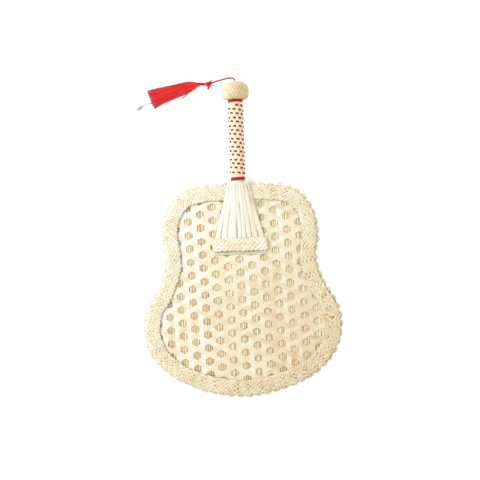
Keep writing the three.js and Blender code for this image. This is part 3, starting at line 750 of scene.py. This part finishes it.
def picot_loops(work, panel, dice):
    """A flat seam band under both plaits, and one turned loop of ribbon at a time outside it."""
    edge_strip(work, 300, 3.4, 2.9, lambda distance, across: 0, 0, 0.55)
    loops = round(EDGE.length / mm(panel.picot_pitch))
    half = mm(panel.picot_ribbon) / 2
    for loop in range(loops):
        middle = (loop + 0.5) * (EDGE.length / loops)
        # the loops' tone varies at random, plus painted shade that darkens them towards the lower right, away
        # from the light
        tone = clamp(dice.gauss(0.15, 0.1) + 0.22 * painted_shade(edge_point(middle, 0), 60, 160), 0, 0.9)
        fat, tall, skew = dice.uniform(0.88, 1.08), dice.uniform(0.82, 1.1), dice.uniform(-0.9, 0.9)

        def place(along, across):
            angle = mix(-0.22, 1.22, along) * pi
            out = across * half
            sideways = -cos(angle) * (3.3 + out) * fat + skew * sin(angle)
            outwards = sin(angle) * (2.7 + out) * tall - 0.5
            height = 0.42 * cos(angle) - 0.3 * sin(angle) * across - 0.05
            return edge_point(middle + sideways, -outwards, height), along * 14, out

        lay_strip(work, 14, 3, place, loop, tone)


# Handle

def skirt_places(widths):
    left = -(sum(widths) + SKIRT_SLIT * (len(widths) - 1)) / 2
    places = []
    for width in widths:
        places.append(left + width / 2)
        left += width + SKIRT_SLIT
    return places


def handle_straw(work, handle, place, widths, strand, tone, dice):
    """One flat straw: straight along the grip, over the panel's top edge, flat under the skirt band."""
    grip_width = mm(handle.straw_width)
    angle = (place - (len(widths) - 1) / 2) * STRAW_STEP
    share = 2 * (place + 0.5) / len(widths) - 1
    end = skirt_places(widths)[place]

    def on_ring(height, pull, width):
        radius = mm(handle.straw_circle) - pull
        return Vector((radius * sin(angle), height, radius * cos(angle), angle, width))

    # stations are x, y, z, turn and width; the two red bands pull the straws in
    grip = [on_ring(height, pull, grip_width) for height, pull in (
        (STRAW_TOP, 0.2), (UPPER_BAND + 3, 0.7), (UPPER_BAND, 0.9), (UPPER_BAND - 3, 0.7), (UPPER_BAND - 7, 0.2),
        (UPPER_BAND - 12, 0), (HANDLE_FOOT + 60, 0), (HANDLE_FOOT + 30, 0), (LOWER_BAND + 12, 0),
        (LOWER_BAND + 7, 0.25), (LOWER_BAND + 3, 0.75))]
    bends = [on_ring(height, 0.9, grip_width - 0.1) for height in (LOWER_BAND + 1, LOWER_BAND - 1.5)]
    for down, arch, plait, spread in SKIRT_BENDS:
        rise = arch * ARCH_RISE
        slope = 2 * rise * share / mix(ARCH_HALF_WIDTH, SKIRT_HALF, spread)
        bends.append((mix(ARCH_HALF_WIDTH * share, end, spread), mix(SKIRT_ARCH, SKIRT_END, down),
                      mix(ON_NET, ON_PLAIT, plait) + 0.05 + rise * (1 - share * share), atan(slope),
                      mix(grip_width + 0.3, widths[place] + 0.45, spread ** 0.85)))
    points = grip + smooth_run(bends, 8)
    line = Line([Vector(row[:3]) for row in points])
    phase = dice.uniform(0, 6)
    slim = dice.choice((0, 0, 0.75))

    def lay(along, across):
        distance = along * line.length
        at, part = find_step(line.marks, distance)
        x, y, z, turn, width = points[at].lerp(points[at + 1], clamp(part))
        spread = clamp((SKIRT_ARCH + 4 - y) / 30)
        width -= slim * ease((LOWER_BAND - 3 - y) / 4) * (1 - ease((SKIRT_ARCH + 1 - y) / 12))
        fold = mix(0.22, 0.16, spread) * dome(across)
        side = across * width / 2 + spread * 0.25 * sin(y / 9 + phase)
        spot = Vector((x - cos(turn) * side + sin(turn) * fold, y, z + sin(turn) * side
                       + cos(turn) * fold + 0.07 * sin(y / 13 + phase)))
        return spot, distance, across * width / 2

    lay_strip(work, 90, 4, lay, strand, lambda run, spot: tone + 0.34 * clamp((run - GRIP_RUN) / GRIP_FADE))


def laced_thread(work, handle):
    """One red thread that goes over one straw and under the next, a turn every few millimetres."""
    # it ends nine straws before its last turn is full
    crossings = handle.thread_turns * STRAWS - 9
    pitch = (THREAD_TOP - HANDLE_FOOT - 6.8) / handle.thread_turns
    circle, tall = mm(handle.straw_circle), mm(handle.thread_tall) / 2

    def section(along):
        turn = along * crossings
        angle = turn * STRAW_STEP
        beat = clamp(1.55 * cos(pi * (turn - 0.5)), -1, 1)
        out = outward(angle)
        middle = out * (circle + (0.86 if beat > 0 else 0.95) * beat)
        middle.y = (THREAD_TOP - 0.4 - pitch * angle / (2 * pi) + 0.45 * sin(angle * 0.61)
                    + 0.3 * sin(angle * 0.37))
        return middle, out * 0.48, Vector((0, tall * mix(0.8, 1, (beat + 1) / 2), 0)), angle * circle

    roll_tube(work, crossings * 6, 8, section, 1, -0.22,
              lambda angle, run: 1 + 0.07 * cos(2 * (angle - run * 1.9)))
    close_tubes(work)


def wound_band(work, handle, middle):
    """Turns of thread, side by side, round the handle straws."""
    wire, turns, pitch = mm(handle.winding_wire) / 2, 3, 1.25

    def section(along):
        angle = pi + along * turns * 2 * pi
        out = outward(angle)
        spot = out * WINDING_CIRCLE
        spot.y = middle - 0.7 + pitch * turns * along
        return spot, out * wire, Vector((0, wire, 0)), angle * WINDING_CIRCLE

    roll_tube(work, turns * 72, 10, section, 2, 0.1,
              lambda angle, run: 0.93 + 0.09 * abs(cos(1.5 * (angle - run * 1.7))))
    close_tubes(work)


def knob_profile(radius):
    """The knob's outline from its mouth round to its pole, as radius and height."""
    low = -acos((KNOB_MOUTH / radius) ** (KNOB_FOOT_SQUARE / 2))
    high = acos((CORD_HOLE / radius) ** (KNOB_SQUARE / 2))
    rows = []
    for step in range(401):
        angle = mix(low, high, step / 400)
        power = 2 / (KNOB_SQUARE if angle > 0 else KNOB_FOOT_SQUARE)
        rise = (KNOB_HALF - (1.6 if angle > 0 else 0.3)) * abs(sin(angle)) ** power * (1 if angle > 0 else -1)
        rows.append(Vector((radius * abs(cos(angle)) ** power, rise, 0)))
    return Line(rows)


def plait_knob(work, handle, dice):
    """Two sets of strands wind round the knob against each other, one over and one under."""
    outline = knob_profile(mm(handle.knob_radius) - 0.45)
    lie, climb = cos(KNOB_SLANT), sin(KNOB_SLANT)
    # how far a strand has turned round the knob at each point of the outline
    turned = [0.0, *accumulate((b - a).length / ((a.x + b.x) / 2) * lie / climb
                               for a, b in zip(outline.points, outline.points[1:]))]
    count, whole = handle.knob_strands, turned[-1]

    def at_turn(turn):
        at, share = find_step(turned, turn)
        return (rows[at].lerp(rows[at + 1], clamp(share)) for rows in (outline.points, outline.ways))

    for hand in (1, -1):
        for strand in range(count):
            tone = dice.gauss(0.55, 0.08)
            start = strand * 2 * pi / count

            def place(along, across):
                turn = along * whole
                row, _ = at_turn(turn)
                over = hand * cos(pi * (turn * count / pi))
                wide = 0.5 * across * (2 * pi * row.x / count) * climb * 0.9
                # across the strand: partly round the knob, partly along its outline
                around = start + hand * turn + wide * climb / row.x
                moved, way = at_turn(clamp(turn - hand * wide * lie / row.x * lie / climb, 0, whole))
                way.normalize()
                lift = (0.42 * over + 0.32 * dome(across)) * clamp(row.x / 6, 0.25, 1)
                radius = moved.x + way.y * lift
                height = KNOB_MIDDLE + moved.y - way.x * lift
                # a strand runs some 14 mm for each radian that it turns
                return Vector((radius * sin(around), height, radius * cos(around))), turn * 14, wide

            # the strands are painted darker on the knob's right side, the side away from the light
            lay_strip(work, round(whole * count / pi * 5), 3, place, strand + count * (hand > 0),
                      lambda run, spot: tone + 0.12 * clamp(spot.x / 12, -1, 1))


def skirt_plait(work, dice):
    """The short plaited band over the ends of the skirt straws, its ends tucked down."""
    def spot(distance, inset, height):
        x = distance - SKIRT_HALF
        tuck = clamp((abs(x) - SKIRT_HALF + 3.2) / 3.2)
        return Vector((x, SKIRT_BAND_TOP - inset, height - 0.9 * tuck * tuck))

    def taper(distance):
        near = clamp((3.6 - min(distance, 2 * SKIRT_HALF - distance)) / 3.6)
        return 1 - 0.2 * near * near

    plait_strands(work, 5, 2 * SKIRT_HALF, 12, spot, SKIRT_BAND_WIDTH, 3.8, lambda inset: 3.6, dice, taper,
                  0.16)


def wavy_trim(work):
    """Two thin wavy strips sewn on the net along the lower edge of the skirt band."""
    for row, shift in ((0, 0.0), (1, 0.5)):
        def place(along, across):
            run = along * 2 * TRIM_HALF
            wave = 2 * pi * (run / 5.4 + shift)
            y = SKIRT_BAND_LOW - 2.1 + 1.25 * cos(wave) - across * 0.65
            return Vector((run - TRIM_HALF, y, 2.15 + 0.2 * sin(wave) + 0.1 * dome(across))), run, across

        lay_strip(work, 96, 2, place, row, 0.2)


# Tassel

def cord_points():
    """The cord's route, from inside the knob's pole to the middle of the knot, in the tassel's directions."""
    pole, axis = joint("tassel_turn")["pos_m"][2] * 1000, joint("tassel_turn")["axis"]
    lean = tan(atan2(axis[2], axis[1]))
    return smooth_run([(x, y, mix(pole, KNOT_LEVEL, drop) + min(y, 0.4) * lean * (1 - drop))
                       for x, y, drop in CORD_ROUTE], 6)


def along_line(line, wide, high):
    """A tube's section along a line that stays mostly level."""
    def section(along):
        middle, way = line.at(along * line.length)
        side = way.cross(UP).normalized()
        return middle, side * wide, side.cross(way) * high, along * line.length
    return section


def twisted(strands, pitch, depth):
    def lobe(angle, run):
        return 1 - depth + depth * abs(cos(strands / 2 * (angle - 2 * pi * run / pitch)))
    return lobe


def lay_cord(work, points, bend_steps, steps, sides, wide, high, strand, tint, lobe=None):
    """A cord on the curve through the given points; one bend step keeps its corners."""
    line = Line(smooth_run(points, bend_steps))
    roll_tube(work, steps, sides, along_line(line, wide, high), strand, tint, lobe)


def twist_cord(work, line, diameter):
    roll_tube(work, 150, 12, along_line(line, diameter / 2, diameter / 2), 1, -0.42, twisted(2, 4.6, 0.2))
    close_tubes(work)


def tie_knot(work):
    """An overhand knot: the cord goes round and through itself, pulled tight, with a short tail and an ear."""
    loop = [Vector(((sin(t) + 2 * sin(2 * t)) * 0.98, (cos(t) - 2 * cos(2 * t)) * 0.98,
                    4.2 - 1.7 * sin(3 * t))) for t in (2 * pi * step / 72 for step in range(72))]
    roll_tube(work, 110, 10, along_line(Line(loop, closed=True), 1.32, 1.32), 3, -0.05, twisted(3, 3.4, 0.24))
    tail = [(0.2, -1.2, 4.6), (-0.1, -3.0, 4.2), (-0.7, -4.6, 3.6), (-1.0, -6.0, 3.0)]
    lay_cord(work, tail, 5, 16, 9, 1.25, 1.1, 4, -0.1, twisted(3, 3.4, 0.2))
    ear = [(1.2, 0.8, 4.8), (2.6, 2.2, 5.6), (3.0, 3.9, 5.2), (2.4, 5.2, 4.6)]
    lay_cord(work, ear, 5, 14, 8, 0.75, 0.7, 5, -0.2)
    core = [(-2.6, 0, 4.2), (0, 0, 4.3), (2.6, 0, 4.2)]
    lay_cord(work, core, 1, 8, 9, 1.7, 1.7, 6, 0.0)
    close_tubes(work)


def bind_neck(work):
    """Turns of thread round the tassel's neck, a paler one beside the knot, and two cords from knot to neck."""
    for start, turns, wire, radius, tone in ((5.2, 4, 0.55, 1.5, -0.1), (4.6, 1, 0.4, 1.7, 0.4)):
        def section(along):
            angle = along * turns * 2 * pi
            out = Vector((cos(angle), 0, sin(angle)))
            down = start + 1.3 * turns * along
            spot = out * radius + Vector((0.35 * (down - 2) + 0.2, down, KNOT_LEVEL))
            return spot, out * wire, Vector((0, wire, 0)), angle * radius

        roll_tube(work, turns * 24, 8, section, 7, tone, twisted(2, 2.4, 0.1))
    for side in (-1, 1):
        link = [(1.4 * side, 1.0, 4.3), (0.9 * side + 0.7, 3.2, KNOT_LEVEL), (0.9 * side + 1.6, 6.0, KNOT_LEVEL)]
        lay_cord(work, link, 1, 10, 8, 0.72, 0.7, 8, -0.25, twisted(2, 2.4, 0.2))
    close_tubes(work)


def comb_fringe(work, tassel, dice):
    """Rayon threads from the neck to their cut ends, spread flat on the table."""
    thread = mm(tassel.fringe_thread) / 2
    # distance, half the width, half the depth, middle height, and how far the threads lie to one side
    rows = smooth_run([
        (0, 1.3, 1.3, 4.4, 2.7), (3, 1.6, 1.5, 4.3, 3.1), (8, 3.8, 2.3, 3.5, 3.6), (14, 5.6, 2.6, 3.0, 3.6),
        (32, 7.2, 2.7, 3.0, 2.9), (49, 9.4, 2.6, 2.9, 1.7), (62.4, 12.1, 2.3, 2.7, 0.4)], 8)
    full = FRINGE_END - FRINGE_START

    def stage(distance):
        at, share = find_step([row[0] for row in rows], distance)
        return rows[at].lerp(rows[at + 1], clamp(share, 0, 1.08))

    marks = [stage(full * step / 60 * 1.03) for step in range(61)]
    for strand in range(tassel.fringe_strands):
        # the first threads stand out at the sides, the next lie on both edges and are mauve-grey all along,
        # painted shade along the fringe's two edges
        loose, rim = strand < 9, 9 <= strand < 27
        angle, radius = dice.uniform(0, 2 * pi), sqrt(dice.random())
        if loose:
            angle, radius = dice.choice((0, pi)) + dice.uniform(-0.25, 0.25), dice.uniform(1.02, 1.1)
        if rim:
            spread = dice.uniform(0, 0.45)
            angle, radius = (spread, pi - spread)[strand % 2], dice.uniform(0.97, 1.03)
        a, b = radius * cos(angle), radius * sin(angle)
        reach = full + dice.gauss(0, 1.1) - (1.2 * abs(a) if a < 0 else -0.8 * a)
        if loose:
            reach *= dice.uniform(0.55, 0.95)
        sway = dice.uniform(-0.5, 0.5) * (0.4 if rim else 1)
        phase, swing = dice.uniform(0, 6), dice.uniform(9, 19)
        # threads higher in the bundle are painted a little brighter, lower ones darker, as light and shade
        tone = clamp(dice.gauss(0.16, 0.42) + 0.1 * b, -0.5, 0.7)
        if rim:
            tone = dice.uniform(1.45, 1.95)

        def section(along):
            distance = along * reach
            _, half, deep, middle, bend = marks[round(clamp(distance / full / 1.03) * 60)]
            grow = ease(distance / 20)
            x = a * half + bend + grow * sway * sin(distance / swing + phase)
            z = max(middle + b * deep + grow * 0.3 * sway * cos(distance / swing + phase), 0.35)
            thick = thread * (1 - 0.45 * ease((along - 0.85) / 0.15))
            spot = Vector((x, FRINGE_START + distance, z))
            return spot, Vector((thick, 0, 0)), Vector((0, 0, thick)), distance

        def tint(run, _):
            return tone + 2.0 * ease((run / reach - 0.97) / 0.03) * (1 if b < 0.5 or loose else 0.6)

        roll_tube(work, 12, 4, section, strand, tint)
    # three threads have come loose under the fringe
    for slip in (0, 0.5, 1.0):
        stray = [(1.2 - slip * 0.5, 19, 2.8), (-4.2 - slip * 0.6, 29, 1.7), (-7.6, 34 + slip, 0.8)]
        lay_cord(work, stray, 6, 12, 4, 0.3, 0.3, 400, 1.5)
    close_tubes(work)


def spin_end(work):
    """The fine two-ply thread that comes out of the fringe."""
    run = [(-96, -19.4, 1.5), (-101, -20.7, 0.9), (-106.5, -21.6, 0.6), (-112.2, -24, 0.75)]
    lay_cord(work, run, 8, 44, 8, 0.58, 0.52, 1, -0.1, twisted(2, 2.2, 0.3))
    close_tubes(work)


def fray_tip(work, dice):
    """The thread's end, frayed into a spindle of fibres."""
    start, end = Vector((-111.4, -23.4, 0.75)), Vector((-119.1, -28.9, 0.45))
    way = (end - start).normalized()
    side = way.cross(UP).normalized()
    for fibre in range(34):
        angle, radius = dice.uniform(0, 2 * pi), sqrt(dice.random())
        first, last = dice.uniform(0, 0.12), dice.uniform(0.86, 1.03)

        def section(along):
            share = mix(first, last, along)
            full = sin(pi * clamp(share * 0.9 + 0.06)) ** 0.8
            middle = start.lerp(end, share) + side * (1.6 * full * radius * cos(angle))
            middle.z = max(middle.z + 0.5 * full * radius * sin(angle), 0.2)
            return middle, side * 0.25, Vector((0, 0, 0.2)), share * 9

        roll_tube(work, 10, 5, section, fibre, dice.uniform(-0.3, 0.3))
    close_tubes(work)


# Operators

class FAN_OT_stage(bpy.types.Operator):
    """Sets the camera, the soft light and the floor"""
    bl_idname = "fan.set_stage"
    bl_label = "Stage"

    def execute(self, context):
        stage, tones, scene = settings("fan_stage"), settings("fan_colours"), context.scene
        camera = bpy.data.objects.new("camera", bpy.data.cameras.new("camera"))
        camera.data.sensor_width, camera.data.lens, camera.data.clip_end = 36, 56.6, 20
        camera.location = (0, 0, stage.camera_height)
        camera.rotation_euler = (0, 0, stage.camera_turn)
        key = bpy.data.objects.new("key_light", bpy.data.lights.new("key_light", "AREA"))
        key.data.energy, key.data.size = stage.key_power, 0.7
        key.location = (-0.95, 0.5, 0.72)
        key.rotation_euler = (Vector((0, 0.02, 0)) - key.location).to_track_quat("-Z", "Y").to_euler()
        for item in (camera, key):
            scene.collection.objects.link(item)
        scene.camera = camera
        scene.world = bpy.data.worlds.new("studio")
        scene.world.use_nodes = True
        sky = scene.world.node_tree.nodes["Background"].inputs
        sky["Color"].default_value, sky["Strength"].default_value = linear("FFFFFF"), stage.sky
        scene.view_settings.view_transform = "Standard"
        # painted studio floor: even, matt, with the faintest mottling
        material, shader = new_material("painted_floor", **{"Roughness": 0.9, "Emission Color": tones.floor,
                                                            "Emission Strength": stage.floor_glow})
        place = add_node(material, "TexCoord").outputs["Object"]
        paint = ramp(material, noise(material, place, 3.0, scale=4.0), (0.2, linear("FAFAFA")),
                     (0.8, tones.floor))
        material.node_tree.links.new(paint, shader.inputs["Base Color"])
        work = bmesh.new()
        bmesh.ops.create_grid(work, x_segments=2, y_segments=2, size=3.0)
        # it lies just under the lowest straw
        bmesh.ops.translate(work, vec=(0, 0, -0.0006), verts=work.verts)
        floor = new_object("floor", work, material)
        floor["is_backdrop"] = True
        return {"FINISHED"}


class FAN_OT_tassel(bpy.types.Operator):
    """Twists the cord, ties the knot, binds the neck and combs out the fringe"""
    bl_idname = "fan.tie_tassel"
    bl_label = "Tassel"

    def execute(self, context):
        tassel, points = settings("fan_tassel"), cord_points()
        line = Line(points)
        red, grey = ("rayon_thread", "tassel", "tassel_red"), ("spun_grey", "tassel")
        cord = make_piece("twisted_cord", "rayon_thread", "cord", "tassel_red", ["tassel_cord"], TASSEL,
                          twist_cord, line, mm(tassel.cord_diameter))
        knot = make_piece("overhand_knot", *red, ["tassel_knot"], KNOT, tie_knot)
        binding = make_piece("neck_binding", *red, ["tassel_binding"], HEAD, bind_neck)
        make_piece("rayon_fringe", *red, ["tassel_fringe"], HEAD, comb_fringe, tassel, random.Random(11))
        make_piece("fine_end_thread", *grey, "grey_thread", ["tassel_end_thread"], TASSEL, spin_end)
        make_piece("frayed_tip", *grey, "grey_tip", ["tassel_end_tip"], TASSEL, fray_tip, random.Random(12))
        path = [TASSEL @ place for place in points]
        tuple(joint("tassel_turn")["pos_m"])
        return {"FINISHED"}


class FAN_OT_nets(bpy.types.Operator):
    """Weaves the open three-way net of both faces"""
    bl_idname = "fan.weave_nets"
    bl_label = "Open nets"

    def execute(self, context):
        panel = settings("fan_panel")
        for face, place, seed in (("front", FAN, 3), ("back", BEHIND, 4)):
            make_piece(face + "_woven_net", "split_straw", "fan", "net_straw", [face + "_net"], place, weave_net,
                       panel, random.Random(seed), thickness=mm(panel.strip_thickness), smooth=False)
        return {"FINISHED"}


class FAN_OT_mat(bpy.types.Operator):
    """Lays the mat of fine upright straws between the nets"""
    bl_idname = "fan.lay_mat"
    bl_label = "Straw mat"

    def execute(self, context):
        make_piece("upright_straw_mat", "whole_straw", "fan", "mat_straw", ["ground_straws"], FAN, lay_mat,
                   settings("fan_panel"), random.Random(5))
        return {"FINISHED"}


class FAN_OT_plaits(bpy.types.Operator):
    """Plaits the border of both faces and turns the picot loops of the edge"""
    bl_idname = "fan.plait_borders"
    bl_label = "Plaits and picots"

    def execute(self, context):
        panel, plait = settings("fan_panel"), ("plaited_straw", "fan", "plait")
        for face, place, seed in (("front", FAN, 6), ("back", BEHIND, 7)):
            make_piece(face + "_border_plait", *plait, [face + "_border"], place, border_plait, panel,
                       random.Random(seed), thickness=0.4)
            make_piece(face + "_skirt_plait", *plait, [face + "_skirt_band"], place, skirt_plait,
                       random.Random(seed + 20), thickness=0.4)
            make_piece(face + "_skirt_trim", *plait, [], place, wavy_trim, thickness=0.35)
        make_piece("picot_loops", *plait, ["picot_edging"], FAN, picot_loops, panel, random.Random(8),
                   thickness=0.55)
        return {"FINISHED"}


class FAN_OT_handle(bpy.types.Operator):
    """Lays the handle's straws, spread out as the skirt, and laces them with red thread"""
    bl_idname = "fan.lace_handle"
    bl_label = "Handle"

    def execute(self, context):
        handle, dice = settings("fan_handle"), random.Random(9)
        for widths, place, first in ((FRONT_SKIRT, FAN, 1), (BACK_SKIRT, BEHIND, 9)):
            for at in range(len(widths)):
                label = f"{first + at:02d}"
                tone = clamp(0.035 * at + dice.gauss(0, 0.06), 0, 0.8)
                make_piece("flat_straw_" + label, "dyed_straw", "fan", "handle_straw", ["handle_straw_" + label],
                           place, handle_straw, handle, at, widths, first + at, tone, dice, thickness=0.36)
        red = ("cotton_thread", "fan", "red_thread")
        make_piece("laced_thread", *red, ["handle_thread"], FAN, laced_thread, handle)
        for name, middle in (("upper_band", UPPER_BAND), ("lower_band", LOWER_BAND)):
            make_piece(name + "_winding", *red, [name], FAN, wound_band, handle, middle)
        return {"FINISHED"}


class FAN_OT_knob(bpy.types.Operator):
    """Plaits the round knob"""
    bl_idname = "fan.plait_knob"
    bl_label = "Knob"

    def execute(self, context):
        make_piece("plaited_knob", "plaited_straw", "fan", "plait", ["knob_wrap"], FAN, plait_knob,
                   settings("fan_handle"), random.Random(10), thickness=0.36)
        return {"FINISHED"}


class FAN_OT_finishes(bpy.types.Operator):
    """Gives the stick and the knob's filling their own material"""
    bl_idname = "fan.finish_nodes"
    bl_label = "Stick and filling"

    def execute(self, context):
        for node in ("core_stick", "knob_core"):
            for slot in frame["nodes"][node].material_slots:
                slot.material = finish("bare_cane")
        return {"FINISHED"}


class FAN_PT_panel(bpy.types.Panel):
    """Sizes, colours and steps of the fan"""
    bl_label = "Woven fan"
    bl_idname = "FAN_PT_panel"
    bl_space_type = "VIEW_3D"
    bl_region_type = "UI"
    bl_category = "Fan"

    def draw(self, context):
        for name, group in GROUPS.items():
            box = self.layout.box()
            for key in group.__annotations__:
                box.prop(getattr(context.scene, name), key)
        for step in STEPS:
            self.layout.operator(step.bl_idname)


GROUPS = {
    "fan_stage": FanStageSettings, "fan_panel": FanPanelSettings, "fan_handle": FanHandleSettings,
    "fan_tassel": FanTasselSettings, "fan_colours": FanColourSettings,
}
STEPS = (FAN_OT_stage, FAN_OT_tassel, FAN_OT_nets, FAN_OT_mat, FAN_OT_plaits, FAN_OT_handle, FAN_OT_knob,
         FAN_OT_finishes)


def register():
    for item in (*GROUPS.values(), *STEPS, FAN_PT_panel):
        bpy.utils.register_class(item)
    for name, group in GROUPS.items():
        setattr(bpy.types.Scene, name, PointerProperty(type=group))


def unregister():
    for name in GROUPS:
        delattr(bpy.types.Scene, name)
    for item in reversed((*GROUPS.values(), *STEPS, FAN_PT_panel)):
        bpy.utils.unregister_class(item)


def main():
    register()
    bpy.ops.fan.set_stage()
    bpy.ops.fan.tie_tassel()
    bpy.ops.fan.weave_nets()
    bpy.ops.fan.lay_mat()
    bpy.ops.fan.plait_borders()
    bpy.ops.fan.lace_handle()
    bpy.ops.fan.plait_knob()
    bpy.ops.fan.finish_nodes()
    boxes = {name: [list(map(float, corner)) for corner in box]
             for name, box in (("cad", CAD_BOX), ("visual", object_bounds()))}


if __name__ == "__main__":
    main()
